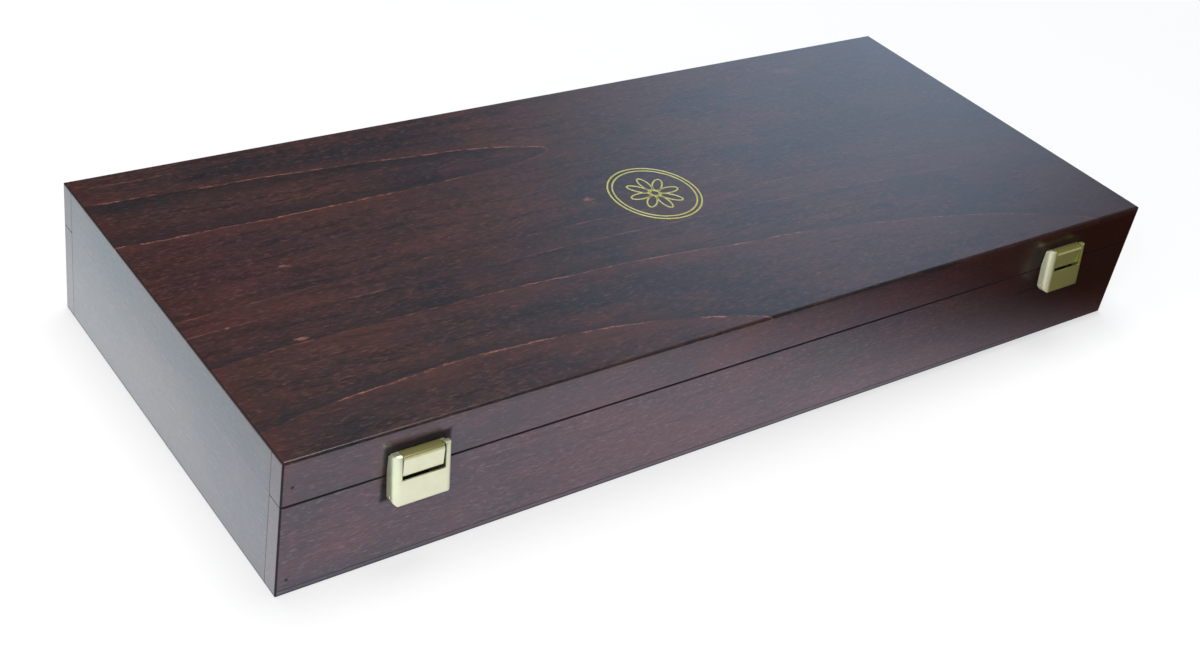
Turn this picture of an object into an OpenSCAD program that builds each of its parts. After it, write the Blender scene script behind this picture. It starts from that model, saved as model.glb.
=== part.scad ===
// Collector's case: a shallow hinged box of stained, lacquered wood with two brass snap latches.
// Origin: middle of the underside. X runs along the length, the latches face -Y and Z is up.
// All sizes are in millimetres. The case is drawn shut.

/* [Wooden case] */
// Length of the case
case_length = 500; // [440:1:600]
// Depth of the case from front to back
case_depth = 213; // [190:1:260]
// Height of the shut case
case_height = 67.5; // [64:0.5:80]
// Height of the seam between base and lid
seam_height = 46; // [42:0.5:48]
// Gap at the seam when the lid is shut, along the front and the back
seam_gap = 0.4; // [0.2:0.1:0.8]
// Gap at the seam along the ends
end_seam_gap = 0.1; // [0.06:0.02:0.2]
// Thickness of the front, back and end boards
board_t = 9; // [8:0.5:12]
// Thickness of the glued top and bottom panels
panel_t = 3; // [2.5:0.5:5]
// Rounding of the edges round the top panel
top_edge_r = 1.2; // [0.4:0.1:2]
// Easing of the upright corners and of the bottom edges
corner_edge_r = 0.8; // [0.3:0.1:2]
// Easing of the rims at the seam, along the front and the back
rim_edge_r = 0.3; // [0.1:0.1:0.6]

/* [Brads] */
// Diameter of the headless brads that hold the corner joints
brad_d = 1.4; // [1:0.1:2]
// Length of a brad
brad_length = 22; // [16:1:30]
// Depth of a brad's end below the face of the board
brad_set = 0.4; // [0.2:0.1:1]
// Height of the base's brads
base_brad_z = 7.8; // [6:0.1:12]
// Height of the lid's brads above the seam
lid_brad_rise = 8.7; // [6:0.1:10]
// Play round a brad or a screw in its hole, on the radius
wood_play = 0.04; // [0.02:0.01:0.1]

/* [Lining] */
// Thickness of the velvet-covered card on the walls
lining_t = 1.2; // [0.8:0.1:2]
// Distance of the wall linings from the rims
lining_drop = 1.5; // [1:0.5:4]
// Thickness of the velvet-covered card on the floor
floor_card_t = 1.5; // [1:0.5:3]
// Play round the lining cards, the rests and the pad
lining_play = 0.3; // [0.2:0.1:0.5]

/* [Knife rests] */
// Number of notches in each rest
notch_count = 8; // [5:1:10]
// Width of a notch
notch_w = 32; // [20:1:36]
// Depth of a notch
notch_depth = 14; // [8:1:20]
// Radius in the bottom corners of a notch
notch_corner_r = 4; // [2:0.5:6]
// Distance from one notch to the next
notch_pitch = 56; // [44:1:60]
// Height of a rest above the floor card
rest_h = 34; // [26:1:36]
// Thickness of a rest
rest_t = 14; // [10:1:20]
// Distance between the middles of the two rests
rest_spacing = 96; // [70:1:130]
// Rounding of a rest's top edges
rest_edge_r = 2; // [1:0.5:4]

/* [Lid pad] */
// Thickness of the pad at its edge
pad_edge_t = 6; // [4:0.5:8]
// Crown of the pad above its edge
pad_crown = 4; // [2:0.5:6]
// Width of the slope from the edge to the crown
pad_slope_w = 26; // [15:1:35]
// How far the sides pull in between the corners
pad_draw_in = 2.4; // [0:0.2:5]
// Corner radius of the pad
pad_corner_r = 7; // [4:0.5:12]

/* [Stop hinges] */
// Distance of a hinge's middle from the end of the case
hinge_inset = 100; // [60:1:130]
// Length of a hinge
hinge_length = 40; // [34:1:50]
// Thickness of a hinge leaf, let into the rim
leaf_t = 1; // [0.8:0.1:1.4]
// Width of a leaf on the rim
leaf_w = 7.9; // [6:0.1:8]
// Diameter of the knuckles
knuckle_d = 4; // [3.6:0.1:5]
// Number of knuckles
knuckle_count = 5; // [3:2:7]
// Gap between two knuckles
knuckle_gap = 0.2; // [0.1:0.1:0.4]
// Diameter of the hinge pin
hinge_pin_d = 2; // [1.5:0.1:2.4]
// Running clearance on the pin, on the radius
pin_play = 0.04; // [0.02:0.01:0.08]
// Gap between the knuckles and the back of the case
knuckle_setback = 0.2; // [0.1:0.1:0.6]
// Angle at which the stops on the two leaves would meet
stop_angle = 96.5; // [91:0.5:105]
// Width of a stop, measured outwards from the hinge pin
stop_w = 2.1; // [1.5:0.1:3]
// Angle that a stop fills round the pin
stop_span = 30; // [20:1:40]
// Distance from one hinge screw to the next
hinge_screw_pitch = 14; // [11:0.5:17]
// Shank diameter of the hinge screws
hinge_screw_d = 2; // [1.6:0.1:2.4]
// Length of the hinge screws
hinge_screw_length = 10; // [8:0.5:14]

/* [Snap latches] */
// Distance of a latch's middle from the end of the case
latch_inset = 58; // [40:1:90]
// Width of the cover flap
flap_w = 26.7; // [26.4:0.1:29]
// Reach of the flap above the seam
flap_rise = 12; // [11.8:0.1:13]
// Reach of the flap below the seam
flap_drop = 11.1; // [10.9:0.1:12]
// Distance of the flap's front from the wood, at the seam
flap_proud = 6.85; // [6.7:0.05:7.2]
// Lean of the shut flap, with its top nearer the wood than its foot
flap_lean = 8; // [7:0.5:9]
// Depth of the flap's turned-in sides
flap_side_depth = 5.8; // [5.4:0.1:6]
// Radius of the sides' lower corner beside the wood
flap_foot_r = 3.4; // [3:0.1:3.6]
// Radius of the sides' upper corner beside the wood
flap_shoulder_r = 4; // [3.8:0.1:4.5]
// Gap between the turned-in sides and the wood
flap_wood_gap = 0.6; // [0.4:0.1:0.8]
// Sheet thickness of the flap and the base plate
sheet_t = 0.7; // [0.5:0.05:0.75]
// Radius of the flap's upright front edges
flap_side_r = 3.2; // [2.6:0.1:3.3]
// Radius of the flap's bottom corners, seen from the front
flap_corner_r = 3.2; // [3:0.1:3.4]
// Radius of the corners of the two arms, seen from the front
arm_corner_r = 1.6; // [1.2:0.1:2]
// Radius over the top of the two arms, seen from the side
arm_top_r = 1.2; // [0.8:0.1:1.6]
// Radius along the bottom front edge
flap_bottom_r = 0.9; // [0.8:0.1:1.4]
// Width of the notch between the arms
flap_notch_w = 19.7; // [19:0.1:20]
// Height of the notch's lower edge above the seam
flap_notch_rise = 0.55; // [0.4:0.05:0.7]
// Distance of the latch pin below the seam
latch_pin_drop = 7.5; // [7.4:0.1:7.8]
// Distance of the latch pin behind the flap's front
latch_pin_inset = 3; // [2.9:0.05:3.2]
// Diameter of the latch pin
latch_pin_d = 1.5; // [1.2:0.1:1.6]
// Radius of the cheeks' ends round the latch pin
latch_ear_r = 1.4; // [1.35:0.05:1.5]
// Gap between the base plate's cheeks and the flap's sides
cheek_gap = 1.4; // [1.2:0.05:1.6]
// Clearance between the parts of a latch
latch_play = 0.3; // [0.2:0.05:0.35]

/* [Latch keeper on the lid] */
// Sheet thickness of the keeper
keeper_t = 0.8; // [0.7:0.05:0.85]
// Height of the keeper's roof above the seam
keeper_rise = 11.3; // [11:0.1:12]
// Distance of the tab's front from the wood
tab_proud = 5.6; // [5.4:0.05:5.7]
// Gap beside the tab, between it and an arm of the flap
tab_gap = 0.7; // [0.6:0.05:1]
// Distance of the tab's lower end above the seam
tab_rise = 2; // [1.8:0.1:2.2]
// How far the tab's lower end stands out before its top
tab_lean = 0.15; // [0.1:0.05:0.2]
// Radius of the keeper's bends, at the middle of the sheet
keeper_bend_r = 0.8; // [0.7:0.1:1]
// Width of the hooked tongue below the tab
tongue_w = 10; // [6:0.5:10]
// Distance of the hook's middle below the seam
hook_drop = 3.4; // [3.3:0.05:3.6]
// Gap between the hook's end and the clip in the flap
hook_gap = 0.75; // [0.7:0.05:0.9]

/* [Latch springs and screws] */
// Thickness of the return spring
spring_t = 0.3; // [0.2:0.05:0.35]
// Width of the return spring
spring_w = 8; // [5:0.5:9]
// Thickness of the catch clip inside the flap
clip_t = 0.35; // [0.25:0.05:0.4]
// Width of the catch clip
clip_w = 10; // [6:0.5:10]
// How far the hook reaches under the clip's lip
catch_depth = 0.8; // [0.5:0.1:1]
// Shank diameter of the latch screws
latch_screw_d = 1.5; // [1.3:0.1:1.6]
// Length of the latch screws
latch_screw_length = 7.5; // [5:0.5:8]

/* [Hidden] */
$fn = 48;

wood = "#4a2a2b";
wood_edge = "#3a2224";
brass = "#d9d7a8";
steel = "#9a9c9e";
velvet = "#5b1420";

// A cutter reaches this far past what it cuts
past = 1;
left = -1;
right = 1;

half_length = case_length / 2;
half_depth = case_depth / 2;
base_rim = seam_height - seam_gap / 2;
lid_rim = seam_height + seam_gap / 2;
top_panel_z = case_height - panel_t;
brad_x = half_length - board_t / 2;
lid_brad_z = seam_height + lid_brad_rise;

cavity_x = half_length - board_t;
cavity_y = half_depth - board_t;
lined_x = cavity_x - lining_t;
lined_y = cavity_y - lining_t;
floor_z = panel_t + floor_card_t;

knuckle_r = knuckle_d / 2;
hinge_y = knuckle_r + knuckle_setback;
knuckle_pitch = hinge_length / knuckle_count;
stop_inner_r = knuckle_r + 0.3;
// The webs that carry a stop are this many degrees narrower on each side
web_inset_a = 4;
screw_head_grow = 1.85;
screw_head_h = 0.7;

latch_x = half_length - latch_inset;
hinge_x = half_length - hinge_inset;

// The shut flap is drawn upright, then leaned about its pin
pin_y = -flap_proud + latch_pin_inset / cos(flap_lean) - latch_pin_drop * tan(flap_lean);
flap_front = pin_y - latch_pin_inset;
flap_back = flap_front + flap_side_depth;
arm_inner_x = flap_notch_w / 2;
flap_inner_x = flap_w / 2 - sheet_t;
cheek_x = flap_inner_x - cheek_gap;
cheek_top = -latch_pin_drop + latch_ear_r + 0.8;
plate_bottom = -latch_pin_drop - latch_ear_r;
plate_top = -0.8;
plate_screw_x = 8.5;
plate_screw_z = -5;
tab_w = flap_notch_w - 2 * tab_gap;
keeper_half_w = flap_inner_x - latch_play - 0.1;
keeper_screw_x = (tab_w / 2 + keeper_half_w) / 2;
keeper_screw_z = keeper_rise / 2 + 0.6;
hook_back = -sheet_t - latch_play - keeper_t - 0.1;
hook_tip = flap_y(sheet_t + clip_t + hook_gap, -hook_drop);
clip_lip_z = -hook_drop + keeper_t / 2 + 0.22 + clip_t / 2;
bend_steps = 6;

// Rectangle from one corner to the other; radii run from the low left corner anticlockwise
module rounded_rect(lo, hi, radii) {
    corners = [lo, [hi[0], lo[1]], hi, [lo[0], hi[1]]];
    inwards = [[1, 1], [-1, 1], [-1, -1], [1, -1]];
    polygon([
        for (i = [0:3])
            let (r = radii[i], across = [inwards[i][0] * r, 0], up = [0, inwards[i][1] * r])
            each r == 0 ? [corners[i]]
                : i % 2 == 0 ? [corners[i] + up, corners[i] + across]
                : [corners[i] + across, corners[i] + up]
    ]);
    for (i = [0:3])
        if (radii[i] > 0)
            translate(corners[i] + inwards[i] * radii[i])
                circle(r = radii[i]);
}

// Extrudes an outline drawn in Y and Z along X, centred
module along_x(width) {
    translate([-width / 2, 0, 0])
        rotate([90, 0, 90])
            linear_extrude(width)
                children();
}

// Extrudes an outline drawn in X and Z along Y
module along_y(y_low, y_high) {
    translate([0, y_high, 0])
        rotate([90, 0, 0])
            linear_extrude(y_high - y_low)
                children();
}

// Half of the case's outer form from one height to the other, with its eased edges: lows and highs
// hold the radius of the lower and of the upper edges, along the long sides and along the ends
module case_form(z_low, z_high, lows, highs) {
    intersection() {
        translate([0, 0, z_low])
            linear_extrude(z_high - z_low)
                rounded_rect([-half_length, -half_depth], [half_length, half_depth],
                             [for (i = [0:3]) corner_edge_r]);
        along_x(case_length)
            rounded_rect([-half_depth, z_low], [half_depth, z_high], [lows[0], lows[0], highs[0], highs[0]]);
        along_y(-half_depth, half_depth)
            rounded_rect([-half_length, z_low], [half_length, z_high], [lows[1], lows[1], highs[1], highs[1]]);
    }
}

module base_form(gap = seam_gap) {
    case_form(0, seam_height - gap / 2, [corner_edge_r, corner_edge_r], [rim_edge_r, 0]);
}

module lid_form(gap = seam_gap) {
    case_form(seam_height + gap / 2, case_height, [rim_edge_r, 0], [top_edge_r, top_edge_r]);
}

// A board along the front or the back, full length; face is -1 for the front and 1 for the back
module long_board_blank(face, z_low, z_high) {
    y_low = face < 0 ? -half_depth - past : half_depth - board_t;
    translate([-half_length - past, y_low, z_low])
        cube([case_length + 2 * past, board_t + past, z_high - z_low]);
}

// An end board, which fits between the long boards
module end_board_blank(side, z_low, z_high) {
    x_low = side < 0 ? -half_length - past : half_length - board_t;
    translate([x_low, -cavity_y, z_low])
        cube([board_t + past, 2 * cavity_y, z_high - z_low]);
}

// Headless brads through the long boards into the ends, at all four corners
module brads(z, play = 0, reach = 0) {
    for (face = [-1, 1], side = [left, right])
        translate([side * brad_x, face * (half_depth - brad_set + reach), z])
            rotate([face * 90, 0, 0])
                cylinder(d = brad_d + 2 * play, h = brad_length + reach);
}

module base_brad_row(play = 0, reach = 0) {
    brads(base_brad_z, play, reach);
}

module lid_brad_row(play = 0, reach = 0) {
    brads(lid_brad_z, play, reach);
}

// Countersunk slotted wood screw, pointing down, with its head's top at the origin
module flat_screw(d, length) {
    r = d / 2;
    head_r = r * screw_head_grow;
    difference() {
        rotate_extrude()
            polygon([[0, 0], [head_r, 0], [r, -(head_r - r)], [r, -length + d], [0, -length]]);
        translate([-head_r - past, -0.2, -0.35])
            cube([2 * (head_r + past), 0.4, 1]);
    }
}

// Round-headed slotted wood screw, pointing down, seated with its head's underside at the origin
module round_screw(d, length) {
    r = d / 2;
    head_r = r * screw_head_grow;
    difference() {
        rotate_extrude()
            polygon([[0, screw_head_h], [head_r * 0.6, screw_head_h], [head_r, screw_head_h * 0.35], [head_r, 0],
                     [r, 0], [r, -length + d], [0, -length]]);
        translate([-head_r - past, -0.2, screw_head_h - 0.35])
            cube([2 * (head_r + past), 0.4, 1]);
    }
}

module pilot_hole(d, length) {
    translate([0, 0, -length - wood_play])
        cylinder(d = d + 2 * wood_play, h = length + past);
}

// Places what follows at a hinge: Y is measured from the pin's axis and Z from the seam
module at_hinge(side) {
    translate([side * hinge_x, half_depth + hinge_y, seam_height])
        children();
}

module at_hinge_screws(side) {
    at_hinge(side)
        for (i = [-1:1])
            translate([i * hinge_screw_pitch, -hinge_y - board_t / 2, -seam_gap / 2])
                children();
}

// Turns a base part over at the seam, to make its twin on the lid
module over_seam() {
    translate([0, 0, seam_height])
        mirror([0, 0, 1])
            translate([0, 0, -seam_height])
                children();
}

module hinge_mortise(side) {
    at_hinge(side)
        translate([-hinge_length / 2 - wood_play, -hinge_y - leaf_w - wood_play, -seam_gap / 2 - leaf_t])
            cube([hinge_length + 2 * wood_play, leaf_w + wood_play + past, leaf_t + past]);
}

module hinge_cuts() {
    for (side = [left, right]) {
        hinge_mortise(side);
        at_hinge_screws(side)
            pilot_hole(hinge_screw_d, hinge_screw_length);
    }
}

// Part of a ring between two angles; angles count from +Y towards +Z
module ring_sector(r_low, r_high, a_low, a_high) {
    reach = 2 * r_high;
    intersection() {
        difference() {
            circle(r = r_high);
            circle(r = r_low);
        }
        polygon([[0, 0], reach * [cos(a_low), sin(a_low)], reach * [cos(a_high), sin(a_high)]]);
    }
}

// One leaf of a stop hinge, drawn for the base; first is its first knuckle, 0 or 1
module hinge_leaf(first) {
    leaf_top = -seam_gap / 2;
    stop_a = -stop_angle / 2;
    knuckle_l = knuckle_pitch - knuckle_gap;
    knuckle_middles = [for (k = [first:2:knuckle_count - 1]) (k + 0.5) * knuckle_pitch - hinge_length / 2];
    difference() {
        union() {
            translate([0, 0, leaf_top - leaf_t])
                linear_extrude(leaf_t) {
                    translate([-hinge_length / 2, -hinge_y - leaf_w])
                        square([hinge_length, leaf_w]);
                    for (x = knuckle_middles)
                        translate([x - knuckle_l / 2, -hinge_y - leaf_w / 2])
                            square([knuckle_l, hinge_y + leaf_w / 2]);
                }
            along_x(hinge_length - 3 * knuckle_gap)
                ring_sector(stop_inner_r, stop_inner_r + stop_w, stop_a - stop_span, stop_a);
            for (x = knuckle_middles)
                translate([x, 0, 0]) {
                    along_x(knuckle_l)
                        circle(r = knuckle_r);
                    along_x(knuckle_l - knuckle_gap)
                        ring_sector(hinge_pin_d / 2, stop_inner_r + stop_w / 2,
                                    stop_a - stop_span + web_inset_a, stop_a - web_inset_a);
                }
        }
        along_x(hinge_length + 2 * past)
            circle(d = hinge_pin_d + 2 * pin_play);
        for (i = [-1:1])
            translate([i * hinge_screw_pitch, -hinge_y - board_t / 2, leaf_top])
                hinge_screw_seat();
    }
}

// Countersunk hole for a hinge screw, from the leaf's top down
module hinge_screw_seat() {
    r = hinge_screw_d / 2 + wood_play;
    head_r = hinge_screw_d / 2 * screw_head_grow + wood_play;
    rotate_extrude()
        polygon([[0, -leaf_t - past], [r, -leaf_t - past], [r, r - head_r], [head_r, 0],
                 [head_r, past], [0, past]]);
}

module bottom_panel() {
    color(wood_edge)
        intersection() {
            base_form();
            translate([-half_length - past, -half_depth - past, -past])
                cube([case_length + 2 * past, case_depth + 2 * past, panel_t + past]);
        }
}

module base_front_board() {
    color(wood)
        difference() {
            intersection() {
                base_form();
                long_board_blank(-1, panel_t, base_rim + past);
            }
            base_brad_row(wood_play, brad_set + past);
            for (side = [left, right])
                at_plate_screws(side)
                    pilot_hole(latch_screw_d, latch_screw_length);
        }
}

module base_back_board() {
    color(wood)
        difference() {
            intersection() {
                base_form();
                long_board_blank(1, panel_t, base_rim + past);
            }
            base_brad_row(wood_play, brad_set + past);
            hinge_cuts();
        }
}

module base_end(side) {
    color(wood)
        difference() {
            intersection() {
                base_form(end_seam_gap);
                end_board_blank(side, panel_t, seam_height + past);
            }
            base_brad_row(wood_play, wood_play);
        }
}

module base_brads() {
    color(steel)
        base_brad_row();
}

module floor_card() {
    color(velvet)
        translate([-cavity_x + lining_play, -cavity_y + lining_play, panel_t])
            cube([2 * (cavity_x - lining_play), 2 * (cavity_y - lining_play), floor_card_t]);
}

// Velvet-covered card folded round the walls between two heights
module wall_lining(z_low, z_high) {
    color(velvet)
        difference() {
            translate([-cavity_x, -cavity_y, z_low])
                cube([2 * cavity_x, 2 * cavity_y, z_high - z_low]);
            translate([-lined_x, -lined_y, z_low - past])
                cube([2 * lined_x, 2 * lined_y, z_high - z_low + 2 * past]);
        }
}

// Outline of a rest from the front: a bar with rounded notches along its top
module rest_outline() {
    half_w = lined_x - lining_play;
    difference() {
        translate([-half_w, 0])
            square([2 * half_w, rest_h]);
        for (i = [0:notch_count - 1])
            translate([(i - (notch_count - 1) / 2) * notch_pitch, 0])
                rounded_rect([-notch_w / 2, rest_h - notch_depth], [notch_w / 2, rest_h + past],
                             [notch_corner_r, notch_corner_r, 0, 0]);
    }
}

// Wooden bar covered in velvet; face is -1 for the front rest and 1 for the rear one
module knife_rest(face) {
    color(velvet)
        translate([0, face * rest_spacing / 2, floor_z])
            intersection() {
                along_y(-rest_t / 2, rest_t / 2)
                    rest_outline();
                along_x(2 * lined_x)
                    rounded_rect([-rest_t / 2, 0], [rest_t / 2, rest_h],
                                 [0, 0, rest_edge_r, rest_edge_r]);
            }
}

module hinge_base_leaf(side) {
    color(brass)
        at_hinge(side)
            hinge_leaf(0);
}

module hinge_lid_leaf(side) {
    color(brass)
        over_seam()
            at_hinge(side)
                hinge_leaf(1);
}

module hinge_pin(side) {
    color(steel)
        at_hinge(side)
            along_x(hinge_length)
                circle(d = hinge_pin_d);
}

module hinge_screws() {
    for (side = [left, right])
        at_hinge_screws(side)
            flat_screw(hinge_screw_d, hinge_screw_length);
}

module hinge_base_screws() {
    color(brass)
        hinge_screws();
}

module hinge_lid_screws() {
    color(brass)
        over_seam()
            hinge_screws();
}

// Places what follows at a latch: Y is measured from the wood and Z from the seam
module at_latch(side) {
    translate([side * latch_x, -half_depth, seam_height])
        children();
}

module at_plate_screws(side) {
    at_latch(side)
        for (x = [-plate_screw_x, plate_screw_x])
            translate([x, 0, plate_screw_z])
                rotate([90, 0, 0])
                    children();
}

module at_keeper_screws(side) {
    at_latch(side)
        for (x = [-keeper_screw_x, keeper_screw_x])
            translate([x, 0, keeper_screw_z])
                rotate([90, 0, 0])
                    children();
}

module at_latch_pin() {
    translate([0, pin_y, -latch_pin_drop])
        children();
}

// Leans what follows about the latch pin, as the shut flap leans
module leaned() {
    at_latch_pin()
        rotate([-flap_lean, 0, 0])
            translate([0, -pin_y, latch_pin_drop])
                children();
}

// Distance from the wood of a plane in the shut flap, at a height; depth counts from the flap's front
function flap_y(depth, z) =
    pin_y + (depth - latch_pin_inset) / cos(flap_lean) + (z + latch_pin_drop) * tan(flap_lean);

function unit(v) = v / norm(v);
function left_of(v) = [-v[1], v[0]];
function turned(v, a) = [v[0] * cos(a) - v[1] * sin(a), v[0] * sin(a) + v[1] * cos(a)];
function bend_sign(d1, d2) = d1[0] * d2[1] - d1[1] * d2[0] > 0 ? 1 : -1;

// Points of one side of a bent strip round the corner b; offset is to the left of the middle line
function bend_side(a, b, c, r, offset) =
    let (d1 = unit(b - a), d2 = unit(c - b), s = bend_sign(d1, d2), angle = acos(d1 * d2),
         middle = b - d1 * r * tan(angle / 2) + left_of(d1) * r * s,
         spoke = -left_of(d1) * s * (r - offset * s))
    [for (i = [0:bend_steps]) middle + turned(spoke, s * angle * i / bend_steps)];

function strip_side(path, r, offset) =
    let (last = len(path) - 1)
    concat(
        [path[0] + left_of(unit(path[1] - path[0])) * offset],
        [for (i = [1:last - 1]) each bend_side(path[i - 1], path[i], path[i + 1], r, offset)],
        [path[last] + left_of(unit(path[last] - path[last - 1])) * offset]
    );

function backwards(list) = [for (i = [len(list) - 1:-1:0]) list[i]];

// Sheet metal strip bent along a middle line in Y and Z, with bends of radius r
module bent_strip(path, t, r, width) {
    along_x(width)
        polygon(concat(strip_side(path, r, t / 2), backwards(strip_side(path, r, -t / 2))));
}

// Base plate with two cheeks that carry the latch pin
module latch_plate(side) {
    color(brass)
        at_latch(side)
            difference() {
                union() {
                    translate([-cheek_x, -sheet_t, plate_bottom])
                        cube([2 * cheek_x, sheet_t, plate_top - plate_bottom]);
                    for (x = [-cheek_x + sheet_t / 2, cheek_x - sheet_t / 2])
                        translate([x, 0, 0])
                            along_x(sheet_t)
                                rounded_rect([pin_y - latch_ear_r, plate_bottom], [0, cheek_top],
                                             [latch_ear_r, 0, 0, latch_ear_r]);
                }
                at_latch_pin()
                    along_x(flap_w)
                        circle(d = latch_pin_d + 2 * pin_play);
                for (x = [-plate_screw_x, plate_screw_x])
                    translate([x, past, plate_screw_z])
                        rotate([90, 0, 0])
                            cylinder(d = latch_screw_d + 2 * wood_play, h = sheet_t + 2 * past);
            }
}

module latch_plate_screws() {
    color(brass)
        for (side = [left, right])
            at_plate_screws(side)
                translate([0, 0, sheet_t])
                    round_screw(latch_screw_d, latch_screw_length);
}

module latch_pin(side) {
    color(steel)
        at_latch(side)
            at_latch_pin()
                along_x(flap_w - 0.2)
                    circle(d = latch_pin_d);
}

// Leaf spring from the base plate, behind and under the pin, to the foot of the flap
module latch_spring(side) {
    back = -sheet_t - spring_t / 2;
    foot_z = -flap_drop + sheet_t + latch_play + spring_t;
    toe = [flap_y(sheet_t + latch_play + spring_t / 2, foot_z), foot_z + 0.3];
    color(steel)
        at_latch(side)
            bent_strip([[back, plate_top - 1], [back, -latch_pin_drop - 0.3], [pin_y + 1, toe[1]], toe - [0, 0.1]],
                       spring_t, 0.5, spring_w);
}

// Keeper: plate screwed to the lid, roof, tab, and a hooked tongue behind the flap
module latch_keeper(side) {
    plate_mid = -keeper_t / 2;
    roof_mid = keeper_rise - keeper_t / 2;
    tab_foot = -tab_proud + keeper_t / 2;
    color(brass)
        at_latch(side)
            difference() {
                union() {
                    bent_strip([[plate_mid, keeper_rise / 2], [plate_mid, roof_mid],
                                [tab_foot + tab_lean, roof_mid], [tab_foot, tab_rise],
                                [hook_back, tab_rise - keeper_bend_r], [hook_back, -hook_drop],
                                [hook_tip, -hook_drop]],
                               keeper_t, keeper_bend_r, tab_w);
                    along_y(-keeper_t, 0)
                        rounded_rect([-keeper_half_w, tab_rise + 0.9], [keeper_half_w, keeper_rise - 0.9],
                                     [0.8, 0.8, 0.8, 0.8]);
                }
                for (x = [-tab_w / 2 - past, tongue_w / 2])
                    translate([x, -tab_proud - past, -flap_drop])
                        cube([tab_w / 2 - tongue_w / 2 + past, tab_proud + past, flap_drop + tab_rise]);
                for (x = [-keeper_screw_x, keeper_screw_x])
                    translate([x, past, keeper_screw_z])
                        rotate([90, 0, 0])
                            cylinder(d = latch_screw_d + 2 * wood_play, h = keeper_t + 2 * past);
            }
}

module keeper_screws() {
    color(brass)
        for (side = [left, right])
            at_keeper_screws(side)
                translate([0, 0, keeper_t])
                    round_screw(latch_screw_d, latch_screw_length);
}

// Outer or inner form of the pressed flap; in is how far the form lies inside the outer one
module flap_form(in) {
    half_w = flap_w / 2 - in;
    z_low = -flap_drop + in;
    z_high = flap_rise - in;
    front = flap_front + in;
    back = in > 0 ? past : flap_back;
    intersection() {
        along_y(front, back)
            rounded_rect([-half_w, z_low], [half_w, z_high],
                         [flap_corner_r - in, flap_corner_r - in, arm_corner_r - in, arm_corner_r - in]);
        translate([0, 0, z_low])
            linear_extrude(z_high - z_low)
                rounded_rect([-half_w, front], [half_w, back], [flap_side_r - in, flap_side_r - in, 0, 0]);
        along_x(2 * half_w)
            rounded_rect([front, z_low], [back, z_high],
                         [flap_bottom_r - in, in > 0 ? 0 : flap_foot_r, in > 0 ? 0 : flap_shoulder_r, arm_top_r - in]);
    }
}

// Pressed cover flap with two arms, which turns on the latch pin
module latch_flap(side) {
    color(brass)
        at_latch(side)
            difference() {
                leaned()
                    difference() {
                        flap_form(0);
                        flap_form(sheet_t);
                        translate([-arm_inner_x, flap_front - past, flap_notch_rise])
                            cube([flap_notch_w, flap_side_depth + 2 * past, flap_rise]);
                    }
                at_latch_pin()
                    along_x(flap_w + 2 * past)
                        circle(d = latch_pin_d + 2 * pin_play);
                translate([-flap_w, -flap_wood_gap, -flap_drop])
                    cube([2 * flap_w, flap_side_depth, 2 * flap_drop + flap_rise]);
            }
}

// Spring clip fixed inside the flap; its lip holds the keeper's hook down
module catch_clip(side) {
    stem = sheet_t + clip_t / 2;
    foot_z = clip_lip_z - 5;
    color(steel)
        at_latch(side)
            bent_strip([[flap_y(stem, foot_z), foot_z], [flap_y(stem, clip_lip_z), clip_lip_z],
                        [hook_tip + catch_depth, clip_lip_z]],
                       clip_t, 0.35, clip_w);
}

module top_panel() {
    color(wood)
        intersection() {
            lid_form();
            translate([-half_length - past, -half_depth - past, top_panel_z])
                cube([case_length + 2 * past, case_depth + 2 * past, panel_t + past]);
        }
}

module lid_front_board() {
    color(wood)
        difference() {
            intersection() {
                lid_form();
                long_board_blank(-1, lid_rim - past, top_panel_z);
            }
            lid_brad_row(wood_play, brad_set + past);
            for (side = [left, right])
                at_keeper_screws(side)
                    pilot_hole(latch_screw_d, latch_screw_length);
        }
}

module lid_back_board() {
    color(wood)
        difference() {
            intersection() {
                lid_form();
                long_board_blank(1, lid_rim - past, top_panel_z);
            }
            lid_brad_row(wood_play, brad_set + past);
            over_seam()
                hinge_cuts();
        }
}

module lid_end(side) {
    color(wood)
        difference() {
            intersection() {
                lid_form(end_seam_gap);
                end_board_blank(side, seam_height - past, top_panel_z);
            }
            lid_brad_row(wood_play, wood_play);
        }
}

module lid_brads() {
    color(steel)
        lid_brad_row();
}

// Depth of the pad below the top panel at a distance in from its edge
function pad_depth(in) = pad_edge_t + pad_crown * (1 - pow(1 - min(in / (2 * pad_slope_w), 1), 2));

// Rings of the pad from its back to its crown, each as its distance in and its depth
pad_rings = concat(
    [[1.2, 0], [0, pad_edge_t * 0.35], [0.5, pad_edge_t * 0.75], [1.8, pad_edge_t]],
    [for (in = [0.12, 0.3, 0.6, 1, 1.5, 2] * pad_slope_w) [in + 1.8, pad_depth(in)]]
);

// Closed outline with round corners and drawn-in sides, as points
function pad_outline(hx, hy, r, draw) = [
    for (k = [0:3])
        let (middle = [(k == 0 || k == 3 ? 1 : -1) * (hx - r), (k < 2 ? 1 : -1) * (hy - r)],
             next = [(k == 0 || k == 1 ? -1 : 1) * (hx - r), (k == 0 || k == 3 ? 1 : -1) * (hy - r)],
             out = [cos(90 * k + 90), sin(90 * k + 90)])
        each concat(
            [for (j = [0:4]) middle + r * [cos(90 * k + 22.5 * j), sin(90 * k + 22.5 * j)]],
            [for (j = [1:7]) middle + (next - middle) * j / 8 + out * (r - draw * sin(22.5 * j))]
        )
];

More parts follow.
